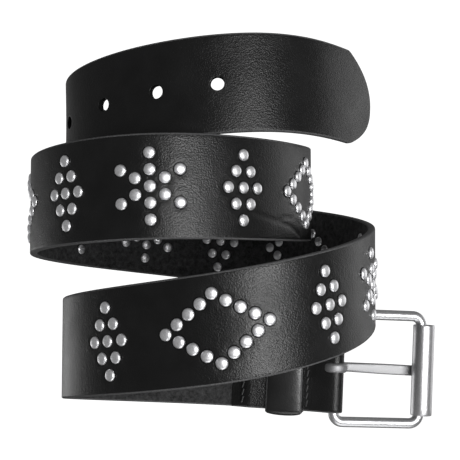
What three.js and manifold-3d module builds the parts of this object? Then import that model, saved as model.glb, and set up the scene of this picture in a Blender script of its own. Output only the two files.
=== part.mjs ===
// A black leather belt with metal studs, held as an open coil of two and a half turns.
// The coil winds down from the pointed end to the buckle and leans back as it rises.
// Millimetres, +Z up. The origin is on the axis of the lowest turn, level with the
// lowest point of the buckle. The buckle end points to +X, the open front faces -Y.
import * as THREE from 'three'
import { mergeVertices } from 'three/addons/utils/BufferGeometryUtils.js'
import Module from 'manifold-3d'

const wasm = await Module()
wasm.setup()

// Strap
const STRAP_WIDTH = 40
const STRAP_THICKNESS = 3
const EDGE_ROUND = 0.8
const TIP_MIDDLE = -2.5
const TIP_UPPER_LENGTH = 19.5
const TIP_UPPER_POWER = 2.35
const TIP_LOWER_LENGTH = 16.5
const TIP_LOWER_POWER = 2.8
const SECTION_STEP = 13

// Coil
const COIL_RADIUS = 60
const COIL_RISE = 116.5
const END_HEIGHT = 27.8

// Holes for the prong, measured from the tip
const HOLE_COUNT = 5
const HOLE_DIAMETER = 5.5
const HOLE_PITCH = 25
const FIRST_HOLE = 85.8

// Studs
const STUD_DIAMETER = 4.7
const STUD_HEIGHT = 1.6
const STUD_RIM = 0.2
const STUD_ROOT = 2.2
const STUD_PITCH = 6.3
const STUD_SIDES = 10
const MOTIF_GAP = 19
const STUDS_FROM_TIP = 330
const STUDS_FROM_BUCKLE = 135

// Fold round the bar of the buckle
const FOLD_LENGTH = 46
const FOLD_SKIVE = 8
const FOLD_SKIVED = 0.5
const EYE_LEATHER = 1.4
const EYE_REACH = 8.5
const FOLD_INSET = 0.2
const LAYER_LAP = 0.3
const PLAY = 0.3

// Buckle
const WIRE_DIAMETER = 4.7
const FRAME_LENGTH = 44
const FRAME_HEIGHT = 52.8
const CORNER_RADIUS = 6.6
const FRAME_SWING = 20
const ROLLER_DIAMETER = 9.6
const ROLLER_LENGTH = 40.6
const ROLLER_WALL = 0.9
const PRONG_WIDTH = 4.2
const PRONG_THICKNESS = 2.4
const PRONG_EYE = 2.9
const PRONG_PAST_ROLLER = 3
const SIDE_PLAY = 0.8

// Keeper loop
const KEEPER_WIDTH = 16.5
const KEEPER_WALL = 2
const KEEPER_TO_BAR = 22.1
const KEEPER_EASE = 0.5
const KEEPER_ROOM = 4

// The line of the strap, a row for each quarter turn from the tip to the bar of the buckle:
// across (+X) and deep (+Y) as shares of COIL_RADIUS, rise as a share of COIL_RISE.
const COIL_ROWS = [
  { turn: 'tip', across: 1.08, deep: 0.6, rise: 1.0 },
  { turn: 'front', across: 0.21, deep: -0.18, rise: 1.013 },
  { turn: 'left', across: -1.105, deep: 0.54, rise: 0.892 },
  { turn: 'back', across: -0.36, deep: 1.3, rise: 0.77 },
  { turn: 'right', across: 0.61, deep: 0.64, rise: 0.66 },
  { turn: 'front', across: -0.38, deep: -0.63, rise: 0.635 },
  { turn: 'left', across: -1.31, deep: 0.25, rise: 0.595 },
  { turn: 'back', across: -0.32, deep: 1.41, rise: 0.515 },
  { turn: 'right', across: 1.04, deep: 0.28, rise: 0.365 },
  { turn: 'front', across: 0.16, deep: -0.89, rise: 0.2 },
  { turn: 'left', across: -1.04, deep: 0.07, rise: 0.09 },
  { turn: 'back', across: -0.2, deep: 0.8, rise: 0.03 },
  { turn: 'bar', across: 0.85, deep: 0.76, rise: 0.0 }
]

// Natural cubic spline through values at rising knots, returned as a function of the knot.
function naturalSpline (knots, values) {
  const last = knots.length - 1
  const bend = new Array(last + 1).fill(0)
  const lead = new Array(last + 1).fill(0)
  const carry = new Array(last + 1).fill(0)
  for (let i = 1; i < last; i++) {
    const before = knots[i] - knots[i - 1]
    const after = knots[i + 1] - knots[i]
    const turn = (values[i + 1] - values[i]) / after - (values[i] - values[i - 1]) / before
    const pivot = 2 * (before + after) - before * lead[i - 1]
    lead[i] = after / pivot
    carry[i] = (6 * turn - before * carry[i - 1]) / pivot
  }
  for (let i = last - 1; i > 0; i--) bend[i] = carry[i] - lead[i] * bend[i + 1]
  return (t) => {
    let i = 0
    while (i < last - 1 && t > knots[i + 1]) i++
    const span = knots[i + 1] - knots[i]
    const a = (knots[i + 1] - t) / span
    const b = (t - knots[i]) / span
    const cubic = ((a ** 3 - a) * bend[i] + (b ** 3 - b) * bend[i + 1]) * span * span / 6
    return a * values[i] + b * values[i + 1] + cubic
  }
}

// The middle line of the strap as a curve that three.js can measure.
class CoilCurve extends THREE.Curve {
  constructor () {
    super()
    const points = COIL_ROWS.map((row) => new THREE.Vector3(
      row.across * COIL_RADIUS,
      row.deep * COIL_RADIUS,
      END_HEIGHT + row.rise * COIL_RISE
    ))
    const knots = [0]
    for (let i = 1; i < points.length; i++) {
      knots.push(knots[i - 1] + points[i].distanceTo(points[i - 1]))
    }
    this.span = knots[knots.length - 1]
    this.x = naturalSpline(knots, points.map((p) => p.x))
    this.y = naturalSpline(knots, points.map((p) => p.y))
    this.z = naturalSpline(knots, points.map((p) => p.z))
    this.arcLengthDivisions = 1200
  }

  getPoint (t, target = new THREE.Vector3()) {
    const knot = t * this.span
    return target.set(this.x(knot), this.y(knot), this.z(knot))
  }
}

const coil = new CoilCurve()
const STRAP_LENGTH = coil.getLength()
const UP = new THREE.Vector3(0, 0, 1)

// The place on the strap at a distance from the tip: along it, out of the coil, and up across it.
function strapFrame (distance) {
  const share = distance / STRAP_LENGTH
  const point = coil.getPointAt(share)
  const along = coil.getTangentAt(share)
  const across = UP.clone().addScaledVector(along, -UP.dot(along)).normalize()
  const out = across.clone().cross(along)
  return { point, along, out, across }
}

function frameMatrix ({ point, along, out, across }) {
  return new THREE.Matrix4().makeBasis(along, out, across).setPosition(point)
}

function onFrame ({ point, out, across }, outBy, acrossBy) {
  return point.clone().addScaledVector(out, outBy).addScaledVector(across, acrossBy)
}

// A closed skin over rings of points. Each ring runs anticlockwise about the way ahead.
function loft (rings, isLoop) {
  const count = rings[0].length
  const positions = rings.flat().flatMap((p) => [p.x, p.y, p.z])
  const index = []
  const spans = isLoop ? rings.length : rings.length - 1
  for (let i = 0; i < spans; i++) {
    const here = i * count
    const next = ((i + 1) % rings.length) * count
    for (let j = 0; j < count; j++) {
      const k = (j + 1) % count
      index.push(here + j, here + k, next + k)
      index.push(here + j, next + k, next + j)
    }
  }
  if (!isLoop) {
    const end = (rings.length - 1) * count
    for (let j = 1; j < count - 1; j++) {
      index.push(0, j + 1, j)
      index.push(end, end + j, end + j + 1)
    }
  }
  const geometry = new THREE.BufferGeometry()
  geometry.setAttribute('position', new THREE.Float32BufferAttribute(positions, 3))
  geometry.setIndex(index)
  return geometry
}

// Between three.js geometry and solids that can be joined and cut
function toSolid (geometry) {
  const bare = geometry.clone()
  bare.deleteAttribute('normal')
  bare.deleteAttribute('uv')
  const merged = mergeVertices(bare, 1e-4)
  const mesh = new wasm.Mesh({
    numProp: 3,
    vertProperties: new Float32Array(merged.attributes.position.array),
    triVerts: new Uint32Array(merged.index.array)
  })
  return new wasm.Manifold(mesh)
}

function toGeometry (solid) {
  const mesh = solid.getMesh()
  const geometry = new THREE.BufferGeometry()
  geometry.setAttribute('position', new THREE.Float32BufferAttribute(mesh.vertProperties, 3))
  geometry.setIndex(new THREE.Uint32BufferAttribute(mesh.triVerts, 1))
  return geometry
}

// Leather section with eased edges: half height and the two faces, as [out, across] pairs.
function leatherSection (half, inner, outer, ease) {
  return [
    [outer, -half + ease], [outer, half - ease], [outer - ease, half], [inner + ease, half],
    [inner, half - ease], [inner, -half + ease], [inner + ease, -half], [outer - ease, -half]
  ]
}

// Where an edge lies across the strap. Near the tip both edges curve in to one rounded end.
function edgeAcross (distance, edge, length, power) {
  const share = Math.min(1, distance / length) ** (1 / power)
  return TIP_MIDDLE + (edge - TIP_MIDDLE) * share
}

// The strap itself, from the tip to just before the bar
function strapRibbon () {
  const tipShares = [0.005, 0.03, 0.1, 0.22, 0.42, 0.68]
  const tip = Math.max(TIP_UPPER_LENGTH, TIP_LOWER_LENGTH)
  const end = STRAP_LENGTH - EYE_REACH - PLAY
  const steps = Math.round((end - tip) / SECTION_STEP)
  const stations = tipShares.map((share) => share * tip)
  for (let i = 0; i <= steps; i++) stations.push(tip + (end - tip) * i / steps)
  const rings = stations.map((distance) => {
    const frame = strapFrame(distance)
    const face = STRAP_THICKNESS / 2
    const upper = edgeAcross(distance, STRAP_WIDTH / 2, TIP_UPPER_LENGTH, TIP_UPPER_POWER)
    const lower = edgeAcross(distance, -STRAP_WIDTH / 2, TIP_LOWER_LENGTH, TIP_LOWER_POWER)
    const middle = (upper + lower) / 2
    return leatherSection((upper - lower) / 2, -face, face, EDGE_ROUND)
      .map(([out, across]) => onFrame(frame, out, across + middle))
  })
  return toSolid(loft(rings, false))
}

// The end turned back on the inner face and pared thin
function foldedLayer () {
  const start = STRAP_LENGTH - FOLD_LENGTH
  const stations = [start, start + FOLD_SKIVE / 2, start + FOLD_SKIVE]
  const end = STRAP_LENGTH - EYE_REACH - PLAY
  const steps = Math.round((end - start - FOLD_SKIVE) / SECTION_STEP)
  for (let i = 1; i <= steps; i++) {
    stations.push(start + FOLD_SKIVE + (end - start - FOLD_SKIVE) * i / steps)
  }
  const seam = -STRAP_THICKNESS / 2
  const half = STRAP_WIDTH / 2 - FOLD_INSET
  const rings = stations.map((distance) => {
    const pared = Math.min(1, (distance - start) / FOLD_SKIVE)
    const thickness = FOLD_SKIVED + (STRAP_THICKNESS - FOLD_SKIVED) * pared
    const frame = strapFrame(distance)
    const ease = Math.min(EDGE_ROUND, thickness / 3)
    return leatherSection(half, seam - thickness, seam + LAYER_LAP, ease)
      .map(([out, across]) => onFrame(frame, out, across))
  })
  return toSolid(loft(rings, false))
}

// Where the bar of the buckle lies: between the two layers of the fold
const BAR_OUT = -STRAP_THICKNESS / 2
const endFrame = strapFrame(STRAP_LENGTH)
const barFrame = { ...endFrame, point: onFrame(endFrame, BAR_OUT, 0) }
const barMatrix = frameMatrix(barFrame)

// An outline in the along-out plane, drawn through its middle and carried to the bar
function barExtrusion (shape, depth, curveSegments) {
  const geometry = new THREE.ExtrudeGeometry(shape, { depth, bevelEnabled: false, curveSegments })
  geometry.translate(0, 0, -depth / 2)
  return geometry
}

// The two loops of leather that close the fold round the bar, either side of the prong's slot
const slotHalf = PRONG_WIDTH / 2 + SIDE_PLAY
const foldLoopHeight = STRAP_WIDTH / 2 - FOLD_INSET - slotHalf

function foldLoopGeometry () {
  const bore = WIRE_DIAMETER / 2 + PLAY
  const outer = bore + EYE_LEATHER
  const lift = THREE.MathUtils.degToRad(100)
  const bend = EYE_REACH * 0.5
  const shape = new THREE.Shape()
  shape.moveTo(-EYE_REACH, -STRAP_THICKNESS)
  shape.quadraticCurveTo(-bend, -STRAP_THICKNESS, outer * Math.cos(lift), -outer * Math.sin(lift))
  shape.absarc(0, 0, outer, -lift, lift, false)
  shape.quadraticCurveTo(-bend, STRAP_THICKNESS, -EYE_REACH, STRAP_THICKNESS)
  shape.closePath()
  const hole = new THREE.Path()
  hole.absarc(0, 0, bore, 0, Math.PI * 2, true)
  shape.holes.push(hole)
  return barExtrusion(shape, foldLoopHeight, 8)
}

function punchedHole (distance) {
  const radius = HOLE_DIAMETER / 2
  const drill = new THREE.CylinderGeometry(radius, radius, STRAP_THICKNESS * 3, 14)
  return toSolid(drill.applyMatrix4(frameMatrix(strapFrame(distance))))
}

// One stud, a low cap whose rim stands a little off the outer face, with its root in the leather
function stud (distance, across) {
  const profile = [
    new THREE.Vector2(0, -STUD_ROOT),
    new THREE.Vector2(STUD_DIAMETER / 2, STUD_RIM),
    new THREE.Vector2(0, STUD_HEIGHT)
  ]
  const cone = new THREE.LatheGeometry(profile, STUD_SIDES)
  cone.translate(0, STRAP_THICKNESS / 2, across)
  return toSolid(cone.applyMatrix4(frameMatrix(strapFrame(distance))))
}

// Stud motifs: the places of their studs as [along, across], and half their length
function lozenge () {
  const steps = 4
  const reach = 3 * STUD_PITCH
  const height = 2 * STUD_PITCH
  const places = [[reach, 0], [-reach, 0], [0, height], [0, -height]]
  for (let i = 1; i < steps; i++) {
    const along = reach * (1 - i / steps)
    const across = height * i / steps
    places.push([along, across], [-along, across], [along, -across], [-along, -across])
  }
  return { places, half: reach }
}

function snowflake () {
  const places = [[0, 0]]
  const rays = 6
  for (let i = 0; i < rays; i++) {
    const angle = Math.PI * (0.5 + 2 * i / rays)
    for (const ring of [1, 2]) {
      const radius = ring * STUD_PITCH
      places.push([radius * Math.cos(angle), radius * Math.sin(angle)])
    }
  }
  return { places, half: 2 * STUD_PITCH * Math.cos(Math.PI / rays) }
}

// A small lozenge filled with rows of one, two and three studs
function filledLozenge () {
  const rows = 2
  const apart = 1.1 * STUD_PITCH
  const places = []
  for (let row = -rows; row <= rows; row++) {
    const count = rows + 1 - Math.abs(row)
    for (let i = 0; i < count; i++) {
      places.push([(i - (count - 1) / 2) * apart, row * STUD_PITCH])
    }
  }
  return { places, half: rows / 2 * apart }
}

// The places of every stud of the belt, motif after motif from the holes to the buckle
function studPlaces () {
  const motifs = [lozenge(), filledLozenge(), snowflake(), filledLozenge()]
  const last = STRAP_LENGTH - STUDS_FROM_BUCKLE
  const studs = []
  let start = STUDS_FROM_TIP
  for (let i = 0; start + 2 * motifs[i % motifs.length].half < last; i++) {
    const { places, half } = motifs[i % motifs.length]
    for (const [along, across] of places) studs.push([start + half + along, across])
    start += 2 * half + MOTIF_GAP
  }
  return studs
}

function strapGeometry () {
  let leather = strapRibbon().add(foldedLayer())
  for (let i = 0; i < HOLE_COUNT; i++) {
    leather = leather.subtract(punchedHole(FIRST_HOLE + i * HOLE_PITCH))
  }
  for (const [distance, across] of studPlaces()) {
    leather = leather.add(stud(distance, across))
  }
  return toGeometry(leather)
}

function roundedRectangle (path, width, height, radius) {
  const x = width / 2 - radius
  const y = height / 2 - radius
  const quarter = Math.PI / 2
  path.moveTo(x, -y - radius)
  path.absarc(x, -y, radius, -quarter, 0, false)
  path.absarc(x, y, radius, 0, quarter, false)
  path.absarc(-x, y, radius, quarter, 2 * quarter, false)
  path.absarc(-x, -y, radius, 2 * quarter, 3 * quarter, false)
  path.closePath()
  return path
}

// The leather loop round both layers, with room outside them for the tip of the belt
function keeperGeometry () {
  const innerFace = -STRAP_THICKNESS * 1.5 - KEEPER_EASE
  const outerFace = STRAP_THICKNESS / 2 + KEEPER_ROOM
  const depth = outerFace - innerFace
  const height = STRAP_WIDTH + 2 * KEEPER_EASE
  const wall = 2 * KEEPER_WALL
  const shape = roundedRectangle(new THREE.Shape(), depth + wall, height + wall, KEEPER_WALL * 1.2)
  shape.holes.push(roundedRectangle(new THREE.Path(), depth, height, KEEPER_WALL * 0.4))
  const settings = { depth: KEEPER_WIDTH, bevelEnabled: false, curveSegments: 4 }
  const geometry = new THREE.ExtrudeGeometry(shape, settings)
  geometry.translate((innerFace + outerFace) / 2, 0, -KEEPER_WIDTH / 2)
  const x = new THREE.Vector3(1, 0, 0)
  const y = new THREE.Vector3(0, 1, 0)
  return geometry.applyMatrix4(new THREE.Matrix4().makeBasis(y, UP, x))
}

// Buckle pieces in their own frame: the bar on the z axis, x towards the roller, y outwards
const barToBar = FRAME_LENGTH - WIRE_DIAMETER
const rollerBore = ROLLER_DIAMETER / 2 - ROLLER_WALL
const rollerShift = rollerBore - WIRE_DIAMETER / 2 - PLAY
const rollerAxis = barToBar + rollerShift

function frameGeometry () {
  const corner = CORNER_RADIUS - WIRE_DIAMETER / 2
  const top = (FRAME_HEIGHT - WIRE_DIAMETER) / 2 - corner
  const centres = [
    { x: barToBar - corner, z: -top, from: 270 },
    { x: barToBar - corner, z: top, from: 0 },
    { x: corner, z: top, from: 90 },
    { x: corner, z: -top, from: 180 }
  ]
  const bends = 6
  const sides = 12
  const rings = []
  for (const { x, z, from } of centres) {
    for (let i = 0; i <= bends; i++) {
      const angle = THREE.MathUtils.degToRad(from + 90 * i / bends)
      const away = new THREE.Vector3(Math.cos(angle), 0, Math.sin(angle))
      const centre = new THREE.Vector3(x, 0, z).addScaledVector(away, corner)
      const ring = []
      for (let j = 0; j < sides; j++) {
        const round = 2 * Math.PI * j / sides
        const point = centre.clone().addScaledVector(away, WIRE_DIAMETER / 2 * Math.cos(round))
        point.y += WIRE_DIAMETER / 2 * Math.sin(round)
        ring.push(point)
      }
      rings.push(ring)
    }
  }
  return loft(rings, true)
}

function rollerGeometry () {
  const half = ROLLER_LENGTH / 2
  const outer = ROLLER_DIAMETER / 2
  const profile = [
    new THREE.Vector2(rollerBore, -half),
    new THREE.Vector2(outer, -half),
    new THREE.Vector2(outer, half),
    new THREE.Vector2(rollerBore, half),
    new THREE.Vector2(rollerBore, -half)
  ]
  return new THREE.LatheGeometry(profile, 24).rotateX(Math.PI / 2)
}

// The prong: a bar bent round the frame's bar, lying on the outer side of the roller
function prongGeometry () {
  const bore = WIRE_DIAMETER / 2 + PLAY
  const eye = bore + PRONG_EYE
  const seat = ROLLER_DIAMETER / 2 + PLAY
  const back = seat + PRONG_THICKNESS
  const end = rollerAxis + PRONG_PAST_ROLLER
  const shape = new THREE.Shape()
  const leave = THREE.MathUtils.degToRad(80)
  const join = THREE.MathUtils.degToRad(15)
  shape.moveTo(eye * Math.cos(join), eye * Math.sin(join))
  shape.quadraticCurveTo(eye * 1.3, seat - PRONG_THICKNESS, eye * 2.2, seat - PRONG_THICKNESS / 2)
  shape.lineTo(rollerAxis - PRONG_THICKNESS, seat)
  shape.lineTo(end - PRONG_THICKNESS / 2, seat)
  shape.quadraticCurveTo(end, seat, end, seat + PRONG_THICKNESS / 3)
  shape.quadraticCurveTo(end, back, end - PRONG_THICKNESS, back)
  shape.lineTo(rollerAxis - PRONG_THICKNESS, back)
  shape.lineTo(eye * Math.cos(leave), eye * Math.sin(leave))
  shape.absarc(0, 0, eye, leave, join + 2 * Math.PI, false)
  const hole = new THREE.Path()
  hole.absarc(0, 0, bore, 0, Math.PI * 2, true)
  shape.holes.push(hole)
  return barExtrusion(shape, PRONG_WIDTH, 10)
}

const leather = new THREE.MeshStandardMaterial({ color: 0x151515, roughness: 0.5, metalness: 0 })
const nickel = new THREE.MeshStandardMaterial({ color: 0xb9b9bb, roughness: 0.3, metalness: 1 })

function named (name, geometry, material) {
  const mesh = new THREE.Mesh(geometry, material.clone())
  mesh.name = name
  return mesh
}

const group = new THREE.Group()
group.add(named('strap', strapGeometry(), leather))

const keeper = named('keeper', keeperGeometry(), leather)
const keeperFrame = strapFrame(STRAP_LENGTH - KEEPER_TO_BAR)
keeper.position.copy(keeperFrame.point)
keeper.setRotationFromMatrix(frameMatrix(keeperFrame))
group.add(keeper)

const buckle = new THREE.Group()
buckle.position.copy(barFrame.point)
buckle.setRotationFromMatrix(barMatrix)
for (const [name, side] of [['fold_loop_upper', 1], ['fold_loop_lower', -1]]) {
  const loop = named(name, foldLoopGeometry(), leather)
  loop.position.z = side * (slotHalf + foldLoopHeight / 2)
  buckle.add(loop)
}
const swung = new THREE.Group()
swung.rotation.z = THREE.MathUtils.degToRad(FRAME_SWING)
swung.add(named('buckle_frame', frameGeometry(), nickel))
swung.add(named('buckle_prong', prongGeometry(), nickel))
const roller = named('buckle_roller', rollerGeometry(), nickel)
roller.position.x = rollerAxis
swung.add(roller)
buckle.add(swung)
group.add(buckle)

export default group
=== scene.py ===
"""A black leather belt with metal studs, dressed in leather, nickel and thread.

The strap is one long piece of leather wound in a coil and folded round the bar of its
buckle. It is lofted along the same line as the solids, in metres, +Z up.
"""
import math

import bpy
import numpy as np
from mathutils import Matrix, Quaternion, Vector


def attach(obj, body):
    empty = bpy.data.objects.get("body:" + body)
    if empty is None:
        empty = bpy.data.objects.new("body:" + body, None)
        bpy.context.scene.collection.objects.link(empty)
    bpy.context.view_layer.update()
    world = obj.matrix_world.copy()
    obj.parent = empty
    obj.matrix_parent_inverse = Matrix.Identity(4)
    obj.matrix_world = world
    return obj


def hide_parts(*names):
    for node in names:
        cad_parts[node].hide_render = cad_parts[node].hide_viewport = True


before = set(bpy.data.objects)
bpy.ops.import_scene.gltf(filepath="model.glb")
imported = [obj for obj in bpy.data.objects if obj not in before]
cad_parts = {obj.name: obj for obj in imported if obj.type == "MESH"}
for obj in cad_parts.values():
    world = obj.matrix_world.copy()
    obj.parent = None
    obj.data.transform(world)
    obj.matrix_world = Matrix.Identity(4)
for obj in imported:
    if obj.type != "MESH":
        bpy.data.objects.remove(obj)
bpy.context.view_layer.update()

MM = 0.001

# Strap and coil, as in the solids
STRAP_WIDTH = 40 * MM
STRAP_THICKNESS = 3 * MM
TIP_MIDDLE = -2.5 * MM
TIP_UPPER_LENGTH = 19.5 * MM
TIP_UPPER_POWER = 2.35
TIP_LOWER_LENGTH = 16.5 * MM
TIP_LOWER_POWER = 2.8
COIL_RADIUS = 60 * MM
COIL_RISE = 116.5 * MM
END_HEIGHT = 27.8 * MM

# Holes and studs, as in the solids
HOLE_COUNT = 5
HOLE_DIAMETER = 5.5 * MM
HOLE_PITCH = 25 * MM
FIRST_HOLE = 85.8 * MM
STUD_DIAMETER = 4.7 * MM
STUD_PITCH = 6.3 * MM
MOTIF_GAP = 19 * MM
STUDS_FROM_TIP = 330 * MM
STUDS_FROM_BUCKLE = 135 * MM

# Fold, buckle and keeper, as in the solids
FOLD_LENGTH = 46 * MM
FOLD_SKIVE = 8 * MM
FOLD_SKIVED = 0.5 * MM
EYE_LEATHER = 1.4 * MM
EYE_REACH = 12 * MM
SLOT_BACK = 8.5 * MM
PLAY = 0.3 * MM
WIRE_DIAMETER = 4.7 * MM
FRAME_LENGTH = 44 * MM
FRAME_HEIGHT = 52.8 * MM
CORNER_RADIUS = 6.6 * MM
FRAME_SWING = math.radians(20)
ROLLER_DIAMETER = 9.6 * MM
ROLLER_LENGTH = 40.6 * MM
ROLLER_WALL = 0.9 * MM
PRONG_WIDTH = 4.2 * MM
PRONG_THICKNESS = 2.4 * MM
PRONG_EYE = 2.9 * MM
PRONG_PAST_ROLLER = 3 * MM
SIDE_PLAY = 0.8 * MM
KEEPER_WIDTH = 16.5 * MM
KEEPER_WALL = 2 * MM
KEEPER_TO_BAR = 22.1 * MM
KEEPER_EASE = 0.5 * MM
KEEPER_ROOM = 4 * MM

# Fine detail that only this dressing has
EDGE_ROUND = 0.7 * MM
DIMPLE_DEPTH = 0.14 * MM
DIMPLE_REACH = 0.8 * MM
DIMPLE_LIP = 0.3
BACK_DIMPLE_SHARE = 0.6
WAVE_HEIGHT = 0.12 * MM
WRINKLE_DEPTH = 0.34 * MM
WRINKLE_REACH = 0.65 * MM
WRINKLES = [
    [(388, -9.5), (381, -11), (374, -12.5), (366, -14), (357, -17.5)],
    [(376, -12.5), (371, -10.8), (365, -10.5)],
]
# A dome's height over the face and its bluntness, and how deep the studs' bases sit
DOME_RISE = 1.25 * MM
DOME_POWER = 2.3
STUD_SUNK = 0.15 * MM
STUD_SIDES = 24
# The width of the ring of painted shadow round each stud, and its heights over the studs' bases
SHADOW_RING_WIDTH = 0.3 * MM
SHADOW_RING_FOOT = 0.1 * MM
SHADOW_RING_SHOULDER = 0.06 * MM
SHADOW_RING_TOP = 0.09 * MM
BACK_CAP_DIAMETER = 4.4 * MM
BACK_CAP_RISE = 0.95 * MM
BACK_CAP_SUNK = 0.1 * MM
BACK_CAP_FOOT = 0.2 * MM
BACK_CAP_SIDES = 20
STITCH_ROWS = (11.7 * MM, 41 * MM)
STITCH_MARGIN = 2.5 * MM
STITCH_PITCH = 3.3 * MM
STITCH_LENGTH = 2.3 * MM
STITCH_LEAN = 0.25 * MM
STITCH_PROUD = 0.12 * MM
THREAD_DIAMETER = 0.8 * MM
PIT_DIAMETER = 0.9 * MM
PIT_DEPTH = 0.3 * MM
PIT_PROUD = 0.02 * MM
PIT_LEAN = 1.6
# The prong: how much wider its free stretch is, how round its edges are as shares of its
# half thickness, how far it narrows to its point, and where its eye's bend starts and ends
PRONG_WIDENED = 0.12
PRONG_ROUND = 0.55
PRONG_EYE_ROUND = 0.43
PRONG_TAPER = 0.7
PRONG_DROOP = 1 * MM
PRONG_EYE_FROM = 80
PRONG_EYE_TO = 375
ROLLER_LIP = 0.45 * MM
ROLLER_SEAM = 0.25 * MM
KEEPER_DROP = 1.4 * MM
KEEPER_SHOULDER = 8 * MM
KEEPER_BEVEL = 0.15 * MM

# The line of the strap: across (+X) and deep (+Y) as shares of COIL_RADIUS,
# rise as a share of COIL_RISE, a row for each quarter turn from the tip to the bar.
COIL_ROWS = [
    ("tip", 1.08, 0.6, 1.0),
    ("front", 0.21, -0.18, 1.013),
    ("left", -1.105, 0.54, 0.892),
    ("back", -0.36, 1.3, 0.77),
    ("right", 0.61, 0.64, 0.66),
    ("front", -0.38, -0.63, 0.635),
    ("left", -1.31, 0.25, 0.595),
    ("back", -0.32, 1.41, 0.515),
    ("right", 1.04, 0.28, 0.365),
    ("front", 0.16, -0.89, 0.2),
    ("left", -1.04, 0.07, 0.09),
    ("back", -0.2, 0.8, 0.03),
    ("bar", 0.85, 0.76, 0.0),
]

# The photograph's camera: its eye stands in front of the coil and looks slightly up.
CAMERA_PLACE = Vector((4, -450, 66.7)) * MM
CAMERA_PITCH = math.radians(2.59)
CAMERA_LENS = 86.4
FLOOR_HEIGHT = -450 * MM
FLOOR_GREY = 0.9
FLOOR_ROUGHNESS = 0.9
FLOOR_GLOW = 0.9
LIT_MIDDLE = Vector((0, 20, 75)) * MM
LIGHT_DISTANCE = 0.9
WORLD_STRENGTH = 0.25


# Camera, floor and light
def make_camera():
    data = bpy.data.cameras.new("camera")
    data.lens = CAMERA_LENS
    data.clip_start = 0.01
    data.clip_end = 50
    camera = bpy.data.objects.new("camera", data)
    camera.location = CAMERA_PLACE
    camera.rotation_euler = (math.pi / 2 + CAMERA_PITCH, 0, 0)
    bpy.context.scene.collection.objects.link(camera)
    bpy.context.scene.camera = camera


def add_soft_box(name, azimuth, elevation, size, power, roll=0):
    """A soft box aimed at the coil: azimuth 0 is the camera's side, + to the right."""
    turn, lift = math.radians(azimuth), math.radians(elevation)
    flat = math.cos(lift)
    way = Vector((math.sin(turn) * flat, -math.cos(turn) * flat, math.sin(lift)))
    data = bpy.data.lights.new(name, "AREA")
    data.shape = "RECTANGLE"
    data.size, data.size_y = size
    data.energy = power
    light = bpy.data.objects.new(name, data)
    light.location = LIT_MIDDLE + way * LIGHT_DISTANCE
    aim = (-way).to_track_quat("-Z", "Y")
    light.rotation_euler = (aim @ Quaternion((0, 0, 1), math.radians(roll))).to_euler()
    bpy.context.scene.collection.objects.link(light)


def make_lights():
    add_soft_box("key", azimuth=26, elevation=-4, size=(0.54, 0.2), power=7.5, roll=-14)
    add_soft_box("rear_right", azimuth=118, elevation=6, size=(0.5, 0.6), power=1.2)
    add_soft_box("rear_left", azimuth=-128, elevation=-12, size=(0.5, 0.4), power=1.0)
    add_soft_box("below", azimuth=20, elevation=-68, size=(0.6, 0.5), power=2.5)
    world = bpy.data.worlds.new("studio")
    world.use_nodes = True
    background = world.node_tree.nodes["Background"]
    background.inputs["Color"].default_value = (1, 1, 1, 1)
    background.inputs["Strength"].default_value = WORLD_STRENGTH
    bpy.context.scene.world = world


def make_floor():
    """A pale floor that curves up into a backdrop all round."""
    outline = [(3.0, 0.0), (3.6, 0.25), (3.9, 0.9), (4.0, 2.0), (4.0, 4.5)]
    sides = 48
    rings = []
    for radius, height in outline:
        angles = np.linspace(0, 2 * math.pi, sides, endpoint=False)
        ring = np.stack([radius * np.cos(angles), radius * np.sin(angles)], 1)
        rings.append(np.column_stack([ring, np.full(sides, height + FLOOR_HEIGHT)]))
    points = np.concatenate([[[0, 0, FLOOR_HEIGHT]]] + rings)
    faces = [(0, 1 + i, 1 + (i + 1) % sides) for i in range(sides)]
    for level in range(len(rings) - 1):
        low = 1 + level * sides
        for i in range(sides):
            k = (i + 1) % sides
            faces.append((low + i, low + sides + i, low + sides + k, low + k))
    mesh = bpy.data.meshes.new("floor")
    mesh.from_pydata(points.tolist(), [], faces)
    mesh.shade_smooth()
    floor = bpy.data.objects.new("floor", mesh)
    bpy.context.scene.collection.objects.link(floor)
    material = new_material("floor_paint")
    shader = material.node_tree.nodes["Principled BSDF"]
    shader.inputs["Base Color"].default_value = (FLOOR_GREY, FLOOR_GREY, FLOOR_GREY, 1)
    shader.inputs["Roughness"].default_value = FLOOR_ROUGHNESS
    shader.inputs["Emission Color"].default_value = (1, 1, 1, 1)
    shader.inputs["Emission Strength"].default_value = FLOOR_GLOW
    mesh.materials.append(material)
    floor.visible_glossy = False
    floor.visible_diffuse = False


# Materials
def new_material(name):
    material = bpy.data.materials.new(name)
    material.use_nodes = True
    return material


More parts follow.
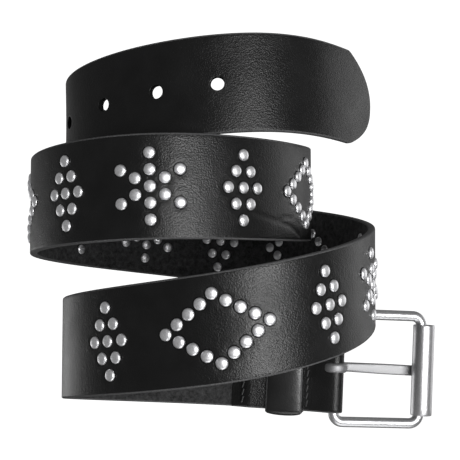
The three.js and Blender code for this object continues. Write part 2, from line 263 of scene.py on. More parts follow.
class Nodes:
    """Short ways to add and join shader nodes in one material."""

    def __init__(self, material):
        self.tree = material.node_tree
        self.shader = self.tree.nodes["Principled BSDF"]

    def add(self, kind, inputs=None, **settings):
        node = self.tree.nodes.new(kind)
        for key, value in settings.items():
            setattr(node, key, value)
        for key, value in (inputs or {}).items():
            self.put(node, key, value)
        return node

    def put(self, node, key, value):
        if isinstance(value, bpy.types.NodeSocket):
            self.tree.links.new(value, node.inputs[key])
        else:
            node.inputs[key].default_value = value

    def place(self):
        return self.add("ShaderNodeTexCoord").outputs["Object"]

    def noise(self, size, detail=3.0, roughness=0.55, place=None):
        node = self.add("ShaderNodeTexNoise", {
            "Vector": place or self.place(),
            "Scale": 1 / size,
            "Detail": detail,
            "Roughness": roughness,
        })
        return node.outputs["Fac"]

    def cells(self, size, feature="F1", place=None):
        node = self.add("ShaderNodeTexVoronoi", {
            "Vector": place or self.place(),
            "Scale": 1 / size,
        }, feature=feature)
        return node.outputs["Distance"]

    def spread(self, value, low, high, from_low=0.0, from_high=1.0):
        node = self.add("ShaderNodeMapRange", {
            "Value": value, "From Min": from_low, "From Max": from_high,
            "To Min": low, "To Max": high,
        })
        return node.outputs["Result"]

    def math(self, operation, a, b):
        node = self.add("ShaderNodeMath", {0: a, 1: b}, operation=operation)
        return node.outputs["Value"]

    def colours(self, value, *stops):
        node = self.add("ShaderNodeValToRGB", {"Fac": value})
        ramp = node.color_ramp
        while len(ramp.elements) < len(stops):
            ramp.elements.new(1.0)
        for element, (place, grey) in zip(ramp.elements, stops):
            element.position = place
            element.color = (grey, grey, grey * 1.02, 1)
        return node.outputs["Color"]

    def bump(self, height, depth, normal=None):
        inputs = {"Height": height, "Distance": depth, "Strength": 1.0}
        if normal is not None:
            inputs["Normal"] = normal
        return self.add("ShaderNodeBump", inputs).outputs["Normal"]

    def set(self, **inputs):
        names = {
            "colour": "Base Color", "roughness": "Roughness", "metal": "Metallic",
            "normal": "Normal", "specular": "Specular IOR Level",
        }
        for key, value in inputs.items():
            self.put(self.shader, names[key], value)


def grain_leather(name, grain, roughness, specular):
    """The finished side: black, with a fine pebble and broad waves."""
    material = new_material(name)
    n = Nodes(material)
    pebble = n.cells(0.65 * MM)
    fine = n.noise(0.4 * MM, detail=2.0)
    broad = n.noise(9 * MM)
    patches = n.noise(11 * MM, detail=4.0)
    height = n.math("ADD", n.math("MULTIPLY", pebble, 0.6), n.math("MULTIPLY", fine, 0.7))
    n.set(
        colour=n.colours(broad, (0.3, 0.003), (0.7, 0.006)),
        roughness=n.spread(patches, roughness, roughness + 0.08, 0.3, 0.7),
        normal=n.bump(broad, 0.12 * MM, n.bump(height, grain)),
        specular=specular,
    )
    return material


def cut_leather():
    """The cut edge: dyed fibres, paler and rougher than the faces."""
    material = new_material("cut_leather")
    n = Nodes(material)
    fibres = n.noise(0.5 * MM, detail=4.0, roughness=0.65)
    n.set(
        colour=n.colours(fibres, (0.3, 0.03), (0.75, 0.1)),
        roughness=0.72,
        normal=n.bump(fibres, 0.12 * MM),
        specular=0.4,
    )
    return material


def flesh_leather():
    """The unfinished side: dyed, matt and mottled."""
    material = new_material("flesh_leather")
    n = Nodes(material)
    mottle = n.noise(2.2 * MM, detail=5.0, roughness=0.7)
    fibres = n.noise(0.45 * MM, detail=4.0, roughness=0.7)
    mixed = n.math("ADD", n.math("MULTIPLY", mottle, 0.6), n.math("MULTIPLY", fibres, 0.4))
    n.set(
        colour=n.colours(mixed, (0.38, 0.004), (0.66, 0.05)),
        roughness=0.82,
        normal=n.bump(mixed, 0.18 * MM),
        specular=0.2,
    )
    return material


def nickel(name, grey, roughness, dent):
    """Satin metal with faint dents and scuffs."""
    material = new_material(name)
    n = Nodes(material)
    dents = n.noise(2.4 * MM, detail=2.0)
    scuffs = n.noise(0.6 * MM, detail=4.0, roughness=0.7)
    normal = n.bump(dents, dent)
    n.set(
        colour=n.colours(scuffs, (0.35, grey * 0.78), (0.65, grey)),
        metal=1.0,
        roughness=n.spread(scuffs, roughness - 0.06, roughness + 0.1, 0.3, 0.7),
        normal=n.bump(scuffs, 0.02 * MM, normal),
    )
    return material


def painted_shadow_leather():
    """Painted shadow: black, matt leather for the ring round each stud and the walls of the holes.
    """
    material = new_material("painted_shadow_leather")
    Nodes(material).set(colour=(0.002, 0.002, 0.002, 1), roughness=0.9, specular=0.1)
    return material


def black_thread():
    material = new_material("black_thread")
    n = Nodes(material)
    twist = n.noise(0.3 * MM, detail=2.0)
    n.set(
        colour=n.colours(twist, (0.3, 0.01), (0.7, 0.04)),
        roughness=0.6,
        normal=n.bump(twist, 0.06 * MM),
    )
    return material


# The line of the strap
def natural_spline(knots, values):
    """Natural cubic spline through rows of values, as a function of knots."""
    count = len(knots)
    span = np.diff(knots)
    slope = np.diff(values, axis=0) / span[:, None]
    system = np.eye(count)
    turn = np.zeros_like(values)
    for i in range(1, count - 1):
        system[i, i - 1:i + 2] = span[i - 1], 2 * (span[i - 1] + span[i]), span[i]
        turn[i] = 6 * (slope[i] - slope[i - 1])
    bend = np.linalg.solve(system, turn)

    def at(knot):
        i = np.clip(np.searchsorted(knots, knot) - 1, 0, count - 2)
        width = span[i][:, None]
        a = (knots[i + 1] - knot)[:, None] / width
        b = 1 - a
        cubic = ((a ** 3 - a) * bend[i] + (b ** 3 - b) * bend[i + 1]) * width ** 2 / 6
        return a * values[i] + b * values[i + 1] + cubic

    return at


class Coil:
    """The middle line of the strap, measured along its length from the tip."""

    def __init__(self):
        shares = np.array([row[1:] for row in COIL_ROWS])
        points = shares * [COIL_RADIUS, COIL_RADIUS, COIL_RISE] + [0, 0, END_HEIGHT]
        steps = np.linalg.norm(np.diff(points, axis=0), axis=1)
        knots = np.concatenate([[0], np.cumsum(steps)])
        spline = natural_spline(knots, points)
        self.knots = np.linspace(0, knots[-1], 8000)
        self.points = spline(self.knots)
        gaps = np.linalg.norm(np.diff(self.points, axis=0), axis=1)
        self.distances = np.concatenate([[0], np.cumsum(gaps)])
        self.length = self.distances[-1]
        self.tangents = np.gradient(self.points, self.distances, axis=0)

    def frames(self, distance):
        """Point and the ways along, out and across at each distance, straight beyond the ends."""
        distance = np.asarray(distance, float)
        held = np.clip(distance, 0, self.length)
        point = columns(np.interp, held, self.distances, self.points)
        along = columns(np.interp, held, self.distances, self.tangents)
        along /= np.linalg.norm(along, axis=-1, keepdims=True)
        point = point + along * (distance - held)[..., None]
        across = np.array([0, 0, 1.0]) - along * along[..., 2:3]
        across /= np.linalg.norm(across, axis=-1, keepdims=True)
        return point, along, np.cross(across, along), across

    def place(self, distance, out, across):
        """Points at a distance along the strap, raised off its middle line."""
        point, _, way_out, way_across = self.frames(distance)
        out, across = np.asarray(out)[..., None], np.asarray(across)[..., None]
        return point + way_out * out + way_across * across


def columns(interpolate, at, known, values):
    return np.stack([interpolate(at, known, values[:, k]) for k in range(3)], -1)


# Meshes
def make_object(name, points, faces, materials, face_materials=None, sharp=None):
    mesh = bpy.data.meshes.new(name)
    mesh.from_pydata(np.asarray(points).reshape(-1, 3).tolist(), [], faces)
    for material in materials:
        mesh.materials.append(material)
    if face_materials is not None:
        mesh.polygons.foreach_set("material_index", face_materials)
    mesh.shade_smooth()
    if sharp:
        mesh.set_sharp_from_angle(angle=math.radians(sharp))
    piece = bpy.data.objects.new(name, mesh)
    bpy.context.scene.collection.objects.link(piece)
    return piece


def ring_faces(rings, count, loop=False, start=0, caps=True):
    """Quads between rings of points, each ring anticlockwise about the way ahead."""
    faces = []
    for i in range(rings if loop else rings - 1):
        here = start + i * count
        ahead = start + (i + 1) % rings * count
        for j in range(count):
            k = (j + 1) % count
            faces.append((here + j, here + k, ahead + k, ahead + j))
    if caps and not loop:
        last = start + (rings - 1) * count
        faces.append(tuple(start + j for j in reversed(range(count))))
        faces.append(tuple(last + j for j in range(count)))
    return faces


def many_turned(name, profile, sides, places, material):
    """One mesh of many small turned caps: profile is (radius, height) from rim to crown."""
    profile = np.array(profile)
    angles = np.linspace(0, 2 * math.pi, sides, endpoint=False)
    ring = np.stack([np.cos(angles), np.zeros(sides), np.sin(angles)], 1)
    levels = [ring * radius + [0, height, 0] for radius, height in profile[:-1]]
    template = np.concatenate(levels + [[[0, profile[-1, 1], 0]]])
    cap = []
    for level in range(len(levels) - 1):
        low = level * sides
        for j in range(sides):
            k = (j + 1) % sides
            cap.append((low + j, low + sides + j, low + sides + k, low + k))
    low = (len(levels) - 1) * sides
    cap += [(low + j, low + sides, low + (j + 1) % sides) for j in range(sides)]
    points = []
    faces = []
    for i, (origin, along, out, across) in enumerate(places):
        basis = np.stack([along, out, across])
        points.append(origin + template @ basis)
        offset = i * len(template)
        faces += [tuple(v + offset for v in face) for face in cap]
    return make_object(name, np.concatenate(points), faces, [material])


# Stud motifs, as in the solids
def lozenge():
    steps = 4
    reach, height = 3 * STUD_PITCH, 2 * STUD_PITCH
    places = [(reach, 0), (-reach, 0), (0, height), (0, -height)]
    for i in range(1, steps):
        along, across = reach * (1 - i / steps), height * i / steps
        places += [(a * along, b * across) for a in (1, -1) for b in (1, -1)]
    return places, reach


def snowflake():
    rays = 6
    places = [(0, 0)]
    for i in range(rays):
        angle = math.pi * (0.5 + 2 * i / rays)
        for radius in (STUD_PITCH, 2 * STUD_PITCH):
            places.append((radius * math.cos(angle), radius * math.sin(angle)))
    return places, 2 * STUD_PITCH * math.cos(math.pi / rays)


def filled_lozenge():
    rows = 2
    apart = 1.1 * STUD_PITCH
    places = []
    for row in range(-rows, rows + 1):
        count = rows + 1 - abs(row)
        places += [((i - (count - 1) / 2) * apart, row * STUD_PITCH) for i in range(count)]
    return places, rows / 2 * apart


def stud_places(length):
    """Every stud as (distance from the tip, across)."""
    motifs = [lozenge(), filled_lozenge(), snowflake(), filled_lozenge()]
    start = STUDS_FROM_TIP
    studs = []
    turn = 0
    while start + 2 * motifs[turn % 4][1] < length - STUDS_FROM_BUCKLE:
        places, half = motifs[turn % 4]
        studs += [(start + half + along, across) for along, across in places]
        start += 2 * half + MOTIF_GAP
        turn += 1
    return np.array(studs)


def stud_profile():
    """A stud from its base to its crown: a short wall and a blunt dome."""
    radius = STUD_DIAMETER / 2
    power = 2 / DOME_POWER
    profile = [(radius, 0.0)]
    for turn in np.linspace(0, math.pi / 2, 12):
        height = DOME_RISE * math.sin(turn) ** power + STUD_SUNK
        profile.append((radius * math.cos(turn) ** power, height))
    return profile


def shadow_ring_profile():
    """A thin low ring round each stud's rim that carries painted shadow where the stud meets the
    leather.
    """
    radius = STUD_DIAMETER / 2
    rim = radius + SHADOW_RING_WIDTH
    shoulder = radius + 0.5 * SHADOW_RING_WIDTH
    return [(rim, -SHADOW_RING_FOOT), (rim, SHADOW_RING_SHOULDER), (shoulder, SHADOW_RING_TOP), (0.0, SHADOW_RING_TOP)]


def back_cap_profile():
    """The cap of a stud's rivet on the inner face: a short wall and a round crown."""
    radius = BACK_CAP_DIAMETER / 2
    profile = [(radius, -BACK_CAP_FOOT), (radius, BACK_CAP_SUNK)]
    for turn in np.linspace(0, math.pi / 2, 9)[1:]:
        height = BACK_CAP_RISE * math.sin(turn) + BACK_CAP_SUNK
        profile.append((radius * math.cos(turn), height))
    return profile


def make_studs(coil, studs, pressed):
    """The rings of painted shadow round the studs, the studs and their caps on the inner face, one
    mesh of each.
    """
    point, along, out, across = coil.frames(studs[:, 0])
    beside = studs[:, 1:]
    face = STRAP_THICKNESS / 2
    front = point + out * (face - STUD_SUNK) + across * beside
    back = point - out * (face - BACK_CAP_SUNK) + across * beside
    fronts = list(zip(front, along, out, across))
    backs = list(zip(back, along, -out, -across))
    silver = nickel("stud_nickel", grey=0.92, roughness=0.42, dent=0.03 * MM)
    back_metal = nickel("back_nickel", grey=0.7, roughness=0.42, dent=0.02 * MM)
    return (
        # The rings take the black matt leather as painted shadow round each stud's rim.
        many_turned("stud_shadow_rings", shadow_ring_profile(), STUD_SIDES, fronts, pressed),
        many_turned("studs", stud_profile(), STUD_SIDES, fronts, silver),
        many_turned("stud_backs", back_cap_profile(), BACK_CAP_SIDES, backs, back_metal),
    )


# The strap
OUTER_COLUMNS = 41
INNER_COLUMNS = 19
MAIN_STEP = 1.05 * MM
EASE_STATIONS = 14
BEND_STATIONS = 25
TIP_SHARES = np.array([0.03, 0.1, 0.2, 0.4, 0.7])


def smooth(share):
    """A share from 0 to 1 that starts and ends slowly."""
    return share * share * (3 - 2 * share)


def fold_line():
    """Stations round the bar: (along past the bar, out, way along, way out, thickness)."""
    seat = -STRAP_THICKNESS / 2
    radius = WIRE_DIAMETER / 2 + PLAY + EYE_LEATHER / 2
    rows = []
    for share in np.linspace(0, 1, EASE_STATIONS)[:-1]:
        ease = smooth(share)
        out = (seat + radius) * ease
        thickness = STRAP_THICKNESS + (EYE_LEATHER - STRAP_THICKNESS) * ease
        rows.append((-EYE_REACH * (1 - share), out, thickness))
    for angle in np.linspace(math.pi / 2, -math.pi / 2, BEND_STATIONS):
        rows.append((radius * math.cos(angle), seat + radius * math.sin(angle), EYE_LEATHER))
    for share in np.linspace(0, 1, EASE_STATIONS)[1:]:
        ease = smooth(share)
        start = seat - radius
        out = start + (seat - STRAP_THICKNESS / 2 - start) * ease
        thickness = EYE_LEATHER + (STRAP_THICKNESS - EYE_LEATHER) * ease
        rows.append((-EYE_REACH * share, out, thickness))
    for back in np.arange(EYE_REACH + MAIN_STEP, FOLD_LENGTH, MAIN_STEP):
        pared = min(1, (FOLD_LENGTH - back) / FOLD_SKIVE)
        thickness = FOLD_SKIVED + (STRAP_THICKNESS - FOLD_SKIVED) * pared
        rows.append((-back, seat - thickness / 2, thickness))
    line = np.array(rows)
    ways = np.gradient(line[:, :2], axis=0)
    ways /= np.linalg.norm(ways, axis=1, keepdims=True)
    return np.column_stack([line[:, :2], ways, line[:, 2]])


def section_ring():
    """One section as (part, share or angle), anticlockwise about the way ahead."""
    ring = [("outer", share) for share in np.linspace(-1, 1, OUTER_COLUMNS)]
    ring += [("upper_edge", math.radians(angle)) for angle in (30, 60, 90, -90, -60, -30)]
    ring += [("inner", share) for share in np.linspace(1, -1, INNER_COLUMNS)]
    ring += [("lower_edge", math.radians(angle)) for angle in (-30, -60, -90, 90, 60, 30)]
    return ring


def strap_edges(distance):
    """Where the strap's lower and upper edges lie across it, with its tip rounded."""
    lower = (-1, TIP_LOWER_LENGTH, TIP_LOWER_POWER)
    upper = (1, TIP_UPPER_LENGTH, TIP_UPPER_POWER)
    edges = []
    for side, length, power in (lower, upper):
        share = np.clip(distance / length, 0, 1) ** (1 / power)
        edges.append(TIP_MIDDLE + (side * STRAP_WIDTH / 2 - TIP_MIDDLE) * share)
    return edges


def surface_waves(distance, across):
    """Slow unevenness of the leather, as it has after being worn and wound."""
    a = np.sin(distance / (9.1 * MM) + across / (6.3 * MM))
    b = np.sin(distance / (5.7 * MM) - across / (8.9 * MM) + 1.3)
    c = np.sin(distance / (23.0 * MM) + across / (15.0 * MM) + 0.4)
    return WAVE_HEIGHT * (0.35 * a + 0.25 * b + 0.7 * c)


def creases(distance, across):
    """Thin wrinkles pressed into the finished face where the belt has been bent."""
    depth = np.zeros_like(distance)
    for line in WRINKLES:
        for (d0, a0), (d1, a1) in zip(line, line[1:]):
            way = np.array([d1 - d0, a1 - a0]) * MM
            ahead, beside = distance - d0 * MM, across - a0 * MM
            share = np.clip((ahead * way[0] + beside * way[1]) / (way @ way), 0, 1)
            away = np.hypot(ahead - share * way[0], beside - share * way[1])
            depth = np.maximum(depth, np.exp(-(away / WRINKLE_REACH) ** 2))
    return WRINKLE_DEPTH * depth


def dimples(distance, across, studs, radius):
    """How far the face is pressed in round each stud."""
    depth = np.zeros_like(distance)
    for at, beside in studs:
        near = np.abs(distance[:, 0] - at) < radius + 4 * DIMPLE_REACH
        away = np.hypot(distance[near] - at, across[near] - beside) - radius
        ring = np.exp(-(np.maximum(away, 0) / DIMPLE_REACH) ** 2)
        lip = DIMPLE_LIP * np.exp(-((away - 2.2 * DIMPLE_REACH) / DIMPLE_REACH) ** 2)
        depth[near] += ring - lip
    return DIMPLE_DEPTH * depth


def make_strap(coil, studs, materials):
    main = np.concatenate([
        MAIN_STEP * TIP_SHARES,
        np.arange(MAIN_STEP, coil.length - EYE_REACH, MAIN_STEP),
    ])
    flat = np.column_stack([
        main - coil.length, 0 * main, 0 * main + 1, 0 * main, 0 * main + STRAP_THICKNESS,
    ])
    line = np.concatenate([flat, fold_line()])
    past, out, way_along, way_out, thickness = line.T
    stations = len(line)
    on_main = np.arange(stations) < len(main)
    lower, upper = strap_edges(np.where(on_main, coil.length + past, coil.length))
    middle = (lower + upper) / 2
    half = (upper - lower) / 2
    ring = section_ring()
    across = np.zeros((stations, len(ring)))
    face = np.zeros((stations, len(ring)))
    corner = np.minimum(EDGE_ROUND, thickness * 0.45)
    corner = np.minimum(corner, half * 0.9)
    for j, (kind, value) in enumerate(ring):
        if kind in ("outer", "inner"):
            across[:, j] = middle + value * (half - corner)
            face[:, j] = (1 if kind == "outer" else -1) * thickness / 2
        else:
            side = 1 if kind == "upper_edge" else -1
            top = 1 if value > 0 else -1
            across[:, j] = middle + side * (half - corner + corner * math.sin(abs(value)))
            face[:, j] = top * (thickness / 2 - corner + corner * math.cos(value))
    distance = np.repeat((coil.length + past)[:, None], len(ring), 1)
    in_main = on_main[:, None]
    face += surface_waves(distance, across) * in_main
    outer_part = np.array([kind == "outer" for kind, _ in ring])
    inner_part = np.array([kind == "inner" for kind, _ in ring])
    press = dimples(distance, across, studs, STUD_DIAMETER / 2) * in_main
    back_press = dimples(distance, across, studs, BACK_CAP_DIAMETER / 2) * in_main
    face -= (press + creases(distance, across) * in_main) * outer_part
    face += BACK_DIMPLE_SHARE * back_press * inner_part
    along_at = coil.length + past[:, None] - way_out[:, None] * face
    out_at = out[:, None] + way_along[:, None] * face
    points = coil.place(along_at, out_at, across)
    faces = ring_faces(stations, len(ring))
    grain, edge, flesh = 0, 1, 2
    part_material = {"outer": grain, "inner": flesh, "upper_edge": edge, "lower_edge": edge}
    row = []
    for (part, _), (next_part, _) in zip(ring, ring[1:] + ring[:1]):
        row.append(part_material[part] if part == next_part else edge)
    face_materials = row * (stations - 1) + [edge, edge]
    return make_object("strap_leather", points, faces, materials, face_materials, sharp=50)


# Stitches
def capsule(start, end, radius, sides=8, rings=3):
    """Points and faces of one round-ended bit of thread."""
    start, end = np.array(start), np.array(end)
    ahead = end - start
    ahead /= np.linalg.norm(ahead)
    beside = np.cross(ahead, [0, 0, 1.0] if abs(ahead[2]) < 0.9 else [1.0, 0, 0])
    beside /= np.linalg.norm(beside)
    above = np.cross(ahead, beside)
    angles = np.linspace(0, 2 * math.pi, sides, endpoint=False)
    circle = np.outer(np.cos(angles), beside) + np.outer(np.sin(angles), above)
    points = []
    for share in np.linspace(-1, 1, 2 * rings):
        centre = start if share < 0 else end
        lean = share * math.pi / 2 * 0.98
        points.append(centre + ahead * radius * math.sin(lean) + circle * radius * math.cos(lean))
    return np.concatenate(points), ring_faces(2 * rings, sides)


def make_stitches(coil, thread, pit):
    """Saddle stitches through the strap and its folded end, with the awl's pits."""
    threads = Gathered()
    pits = Gathered()
    half = STRAP_WIDTH / 2 - STITCH_MARGIN
    fold_out = -1.5 * STRAP_THICKNESS
    for back in STITCH_ROWS:
        at = coil.length - back
        for out, side in ((STRAP_THICKNESS / 2, 1), (fold_out, -1)):
            level = out + side * STITCH_PROUD
            for across in np.arange(-half, half, STITCH_PITCH):
                ends = np.array([across, across + STITCH_LENGTH])
                lean = np.array([-1, 1]) * STITCH_LEAN
                line = coil.place(at + lean, np.full(2, level), ends)
                threads.add(*capsule(line[0], line[1], THREAD_DIAMETER / 2))
                depths = out + side * np.array([-PIT_DEPTH, PIT_PROUD])
                for end, shift in zip(ends, PIT_LEAN * lean):
                    line = coil.place(np.full(2, at + shift), depths, np.full(2, end))
                    pits.add(*capsule(line[0], line[1], PIT_DIAMETER / 2))
    return threads.make("stitches", thread), pits.make("stitch_pits", pit)


class Gathered:
    """Many small shapes brought together in one mesh."""

    def __init__(self):
        self.points = []
        self.faces = []
        self.count = 0

    def add(self, points, faces):
        self.points.append(points)
        self.faces += [tuple(v + self.count for v in face) for face in faces]
        self.count += len(points)

    def make(self, name, material):
        return make_object(name, np.concatenate(self.points), self.faces, [material])


# Keeper
def make_keeper(coil, materials):
    """A leather loop round the strap and its folded end, with room for the tip."""
    at = coil.length - KEEPER_TO_BAR
    inner = -1.5 * STRAP_THICKNESS - KEEPER_EASE
    outer = STRAP_THICKNESS / 2 + KEEPER_ROOM
    middle = (inner + outer) / 2
    high = (outer - inner) / 2 + KEEPER_WALL
    wide = STRAP_WIDTH / 2 + KEEPER_EASE + KEEPER_WALL
    corner = 1.4 * KEEPER_WALL
    path = rounded_box(wide, high, corner, 10)
    hole = rounded_box(wide - KEEPER_WALL, high - KEEPER_WALL, corner - KEEPER_WALL, 10)
    steps = len(path)
    profile = keeper_profile(KEEPER_WIDTH / 2)
    loops = []
    for along, depth, _ in profile:
        line = path + (hole - path) * depth / KEEPER_WALL
        loops.append(coil.place(np.full(steps, at + along), line[:, 1] + middle, line[:, 0]))
    kinds = [kind for _, _, kind in profile for _ in range(steps)]
    faces = [face[::-1] for face in ring_faces(len(loops), steps, loop=True)]
    return make_object("keeper_loop", np.concatenate(loops), faces, materials, kinds, sharp=50)


def keeper_profile(half):
    """The keeper's section: (along, depth below its face, material of the strip after)."""
    face, edge_side = 0, 1
    rows = []
    for along in np.linspace(-half, half, 27)[1:-1]:
        share = max(0, abs(along) - half + KEEPER_SHOULDER) / KEEPER_SHOULDER
        rows.append((along, KEEPER_DROP * (1 - math.sqrt(1 - share ** 2)), face))
    last, edge, _ = rows[-1]
    rows[-1] = (last, edge, edge_side)
    rows.append((half, (edge + KEEPER_WALL) / 2, edge_side))
    rows.append((half - KEEPER_BEVEL, KEEPER_WALL, edge_side))
    rows.append((0.0, KEEPER_WALL, edge_side))
    rows.append((-half + KEEPER_BEVEL, KEEPER_WALL, edge_side))
    rows.append((-half, (edge + KEEPER_WALL) / 2, edge_side))
    return rows


def rounded_box(wide, high, corner, steps):
    """A closed outline of a box with rounded corners, as rows of (across, out)."""
    corner = max(corner, 0.3 * MM)
    points = []
    for start, (sx, sy) in zip((0, 90, 180, 270), ((1, 1), (-1, 1), (-1, -1), (1, -1))):
        for angle in np.radians(np.linspace(start, start + 90, steps)):
            points.append((
                sx * (wide - corner) + corner * math.cos(angle),
                sy * (high - corner) + corner * math.sin(angle),
            ))
    return np.array(points)


# Buckle, in its own frame: the bar on the z axis, x towards the roller, y outwards
BAR_TO_BAR = FRAME_LENGTH - WIRE_DIAMETER
ROLLER_BORE = ROLLER_DIAMETER / 2 - ROLLER_WALL
ROLLER_AXIS = BAR_TO_BAR + ROLLER_BORE - WIRE_DIAMETER / 2 - PLAY


def buckle_basis(coil):
    """The bar's centre and the buckle's three ways, swung about the bar."""
    place, along, out, across = (row[0] for row in coil.frames(np.array([coil.length])))
    bar = place - out * STRAP_THICKNESS / 2
    towards = along * math.cos(FRAME_SWING) + out * math.sin(FRAME_SWING)
    outwards = out * math.cos(FRAME_SWING) - along * math.sin(FRAME_SWING)
    return bar, np.stack([towards, outwards, across])


def in_buckle(basis, points):
    bar, ways = basis
    return bar + np.asarray(points) @ ways


def make_wire_frame(basis, material):
    """Round wire bent to a rectangle with rounded corners."""
    corner = CORNER_RADIUS - WIRE_DIAMETER / 2
    top = (FRAME_HEIGHT - WIRE_DIAMETER) / 2 - corner
    corners = [
        (BAR_TO_BAR - corner, -top, 270), (BAR_TO_BAR - corner, top, 0),
        (corner, top, 90), (corner, -top, 180),
    ]
    bends = 12
    straights = 14
    sides = 28
    stops = []
    for x, z, start in corners:
        for angle in np.radians(np.linspace(start, start + 90, bends)):
            away = np.array([math.cos(angle), 0, math.sin(angle)])
            stops.append((np.array([x, 0, z]) + away * corner, away))
    centres = []
    for i, (here, away) in enumerate(stops):
        ahead, ahead_away = stops[(i + 1) % len(stops)]
        pieces = straights if i % bends == bends - 1 else 1
        for share in np.arange(pieces) / pieces:
            centres.append((here + (ahead - here) * share, away))
    turns = np.linspace(0, 2 * math.pi, sides, endpoint=False)
    rings = []
    for centre, away in centres:
        round_way = np.outer(np.cos(turns), away) + np.outer(np.sin(turns), [0, 1, 0])
        rings.append(centre + round_way * WIRE_DIAMETER / 2)
    points = in_buckle(basis, np.concatenate(rings))
    return make_object("frame_wire", points, ring_faces(len(rings), sides, loop=True), [material])


def make_roller(basis, material):
    """A sheet tube rolled to a seam, with turned-in lips."""
    outer = ROLLER_DIAMETER / 2
    half = ROLLER_LENGTH / 2
    lip = ROLLER_LIP
    profile = [(ROLLER_BORE, -half), (outer - lip, -half)]
    for angle in (30, 60, 90):
        turn = math.radians(angle)
        profile.append((outer - lip + lip * math.sin(turn), -half + lip - lip * math.cos(turn)))
    for level in np.linspace(-half + lip, half - lip, 16)[1:-1]:
        profile.append((outer, level))
    for angle in (90, 60, 30):
        turn = math.radians(angle)
        profile.append((outer - lip + lip * math.sin(turn), half - lip + lip * math.cos(turn)))
    profile += [(outer - lip, half), (ROLLER_BORE, half)]
    sides = 96
    seam = 9
    turns = np.linspace(0, 2 * math.pi, sides, endpoint=False)
    groove = np.where(np.arange(sides) == seam, ROLLER_SEAM, 0)
    loops = []
    for radius, level in profile:
        depth = groove if radius > outer - 0.1 * MM else 0 * groove
        ring = (radius - depth)[:, None] * np.stack([np.cos(turns), np.sin(turns)], 1)
        x, y = ring[:, 0] + ROLLER_AXIS, ring[:, 1]
        loops.append(np.column_stack([x, y, np.full(sides, level)]))
    faces = ring_faces(len(loops), sides, loop=True)
    points = in_buckle(basis, np.concatenate(loops))
    return make_object("roller_tube", points, faces, [material], sharp=40)


def prong_line():
    """The prong's middle line as (x, y, half thickness), from its tip back round the eye."""
    middle = ROLLER_DIAMETER / 2 + PLAY + PRONG_THICKNESS / 2
    half = PRONG_THICKNESS / 2
    bore = WIRE_DIAMETER / 2 + PLAY
    wall = PRONG_EYE / 2
    tip = ROLLER_AXIS + PRONG_PAST_ROLLER
    bend = 3.0 * bore
    rows = []
    for share in np.linspace(0.05, 1, 8):
        rows.append((tip - half * share, middle, half * math.sqrt(1 - (1 - share) ** 2)))
    for share in np.linspace(0, 1, 30)[1:]:
        rows.append((tip - half + (bend - tip + half) * share, middle, half))
    start = math.radians(PRONG_EYE_FROM)
    eye = bore + wall
    meet = np.array([eye * math.cos(start), eye * math.sin(start)])
    before = np.array([bend, middle])
    for share in np.linspace(0, 1, 10)[1:-1]:
        ease = smooth(share)
        x = before[0] + (meet[0] - before[0]) * share
        y = before[1] + (meet[1] - before[1]) * ease
        rows.append((x, y, half + (wall - half) * ease))
    for angle in np.radians(np.linspace(PRONG_EYE_FROM, PRONG_EYE_TO, 44)):
        rows.append((eye * math.cos(angle), eye * math.sin(angle), wall))
    return np.array(rows)


def make_prong(basis, material):
    """A flat bar with rounded edges, bent round the frame's bar."""
    rows = prong_line()
    ways = np.gradient(rows[:, :2], axis=0)
    ways /= np.linalg.norm(ways, axis=1, keepdims=True)
    ring = []
    for start, (sx, sy) in zip((0, 90, 180, 270), ((1, 1), (-1, 1), (-1, -1), (1, -1))):
        for angle in np.radians(np.linspace(start, start + 90, 6)):
            ring.append((sx, sy, math.cos(angle), math.sin(angle)))
    ring = np.array(ring)
    loops = []
    for (x, y, half), (dx, dy) in zip(rows, ways):
        near_eye = np.clip((5 * WIRE_DIAMETER - x) / (4 * WIRE_DIAMETER), 0, 1)
        round_off = (PRONG_ROUND + PRONG_EYE_ROUND * near_eye) * half
        wider = 1 + PRONG_WIDENED - PRONG_WIDENED * near_eye
        thinned = PRONG_THICKNESS / 2 - min(half, PRONG_THICKNESS / 2)
        width = PRONG_WIDTH / 2 * wider - PRONG_TAPER * thinned
        beside = ring[:, 0] * (width - round_off) + round_off * ring[:, 2]
        beside = beside - PRONG_DROOP * max(0, x) / ROLLER_AXIS
        above = ring[:, 1] * (half - round_off) + round_off * ring[:, 3]
        loops.append(np.column_stack([x - dy * above, y + dx * above, beside]))
    points = in_buckle(basis, np.concatenate(loops))
    return make_object("prong_bar", points, ring_faces(len(loops), len(ring)), [material], sharp=50)


# Holes and slot
def cut_through(piece, cutter):
    """Take the cutter's solid out of the piece, keeping the cutter's material on the cut."""
    modifier = piece.modifiers.new("cut", "BOOLEAN")
    modifier.operation = "DIFFERENCE"
    modifier.solver = "EXACT"
    modifier.material_mode = "TRANSFER"
    modifier.object = cutter
    bpy.context.view_layer.update()
    graph = bpy.context.evaluated_depsgraph_get()
    cut = bpy.data.meshes.new_from_object(piece.evaluated_get(graph))
    piece.modifiers.clear()
    old = piece.data
    piece.data = cut
    cut.name = piece.name
    bpy.data.meshes.remove(old)
    bpy.data.objects.remove(cutter)


def hole_cutters(coil, material):
    sides = 28
    turns = np.linspace(0, 2 * math.pi, sides, endpoint=False)
    points = []
    faces = []
    for i in range(HOLE_COUNT):
        origin, along, out, across = (
            row[0] for row in coil.frames(np.array([FIRST_HOLE + i * HOLE_PITCH]))
        )
        circle = np.outer(np.cos(turns), along) + np.outer(-np.sin(turns), across)
        for side in (-1, 1):
            rim = origin + circle * HOLE_DIAMETER / 2 + out * side * 2 * STRAP_THICKNESS
            points.append(rim)
        faces += ring_faces(2, sides, start=2 * sides * i)
    return make_object("hole_cutters", np.concatenate(points), faces, [material])


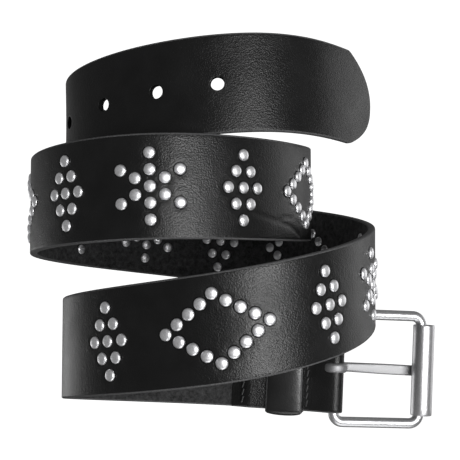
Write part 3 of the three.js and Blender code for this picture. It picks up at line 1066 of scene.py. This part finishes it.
def slot_cutter(coil, material):
    """A long rounded slot through the fold for the prong's eye."""
    half = PRONG_WIDTH / 2 + SIDE_PLAY
    turns = np.radians(np.linspace(90, 270, 16))
    outline = [(-SLOT_BACK + half + half * math.cos(a), half * math.sin(a)) for a in turns]
    past_fold = 2 * EYE_LEATHER + WIRE_DIAMETER
    outline += [(past_fold, -half), (past_fold, half)]
    count = len(outline)
    past, beside = np.array(outline).T
    rims = []
    for out in (-4 * STRAP_THICKNESS, 3 * STRAP_THICKNESS):
        rims.append(coil.place(coil.length + past, np.full(count, out), beside))
    return make_object("slot_cutter", np.concatenate(rims), ring_faces(2, count), [material])


# Put everything together
def dress(piece, body, slot, *nodes):
    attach(piece, body)
    for node in nodes:
        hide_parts(node)


def main():
    coil = Coil()
    studs = stud_places(coil.length)
    # Black matt leather used as painted shadow: round the studs and inside the holes.
    pressed = painted_shadow_leather()
    grain = grain_leather("grain_leather", grain=0.11 * MM, roughness=0.29, specular=0.28)
    smooth_grain = grain_leather("smooth_leather", grain=0.03 * MM, roughness=0.28, specular=0.5)
    edge = cut_leather()
    flesh = flesh_leather()
    satin = nickel("satin_nickel", grey=0.62, roughness=0.36, dent=0.02 * MM)
    # The prong's nickel is rougher than the frame's, and its darker grey is painted shade that dims
    # its reflection of the key light.
    rough_and_shaded_nickel = nickel("prong_nickel_shaded", grey=0.37, roughness=0.56, dent=0.03 * MM)

    strap = make_strap(coil, studs, [grain, edge, flesh])
    # The holes' walls take the black matt leather: painted shade inside the holes, not the paler
    # cut edge.
    cut_through(strap, hole_cutters(coil, pressed))
    cut_through(strap, slot_cutter(coil, edge))
    dress(strap, "strap", "leather", "strap", "fold_loop_upper", "fold_loop_lower")
    shadow_rings, domes, backs = make_studs(coil, studs, pressed)
    dress(shadow_rings, "strap", "leather", "strap")
    dress(domes, "strap", "nickel", "strap")
    dress(backs, "strap", "nickel", "strap")
    for piece in make_stitches(coil, black_thread(), flesh):
        dress(piece, "strap", "leather", "strap")
    dress(make_keeper(coil, [smooth_grain, edge]), "strap", "leather", "keeper")
    basis = buckle_basis(coil)
    dress(make_wire_frame(basis, satin), "frame", "nickel", "buckle_frame")
    dress(make_prong(basis, rough_and_shaded_nickel), "prong", "nickel", "buckle_prong")
    dress(make_roller(basis, satin), "roller", "nickel", "buckle_roller")

    make_floor()
    make_lights()
    make_camera()
    bpy.context.scene.view_settings.view_transform = "Standard"
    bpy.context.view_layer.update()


main()
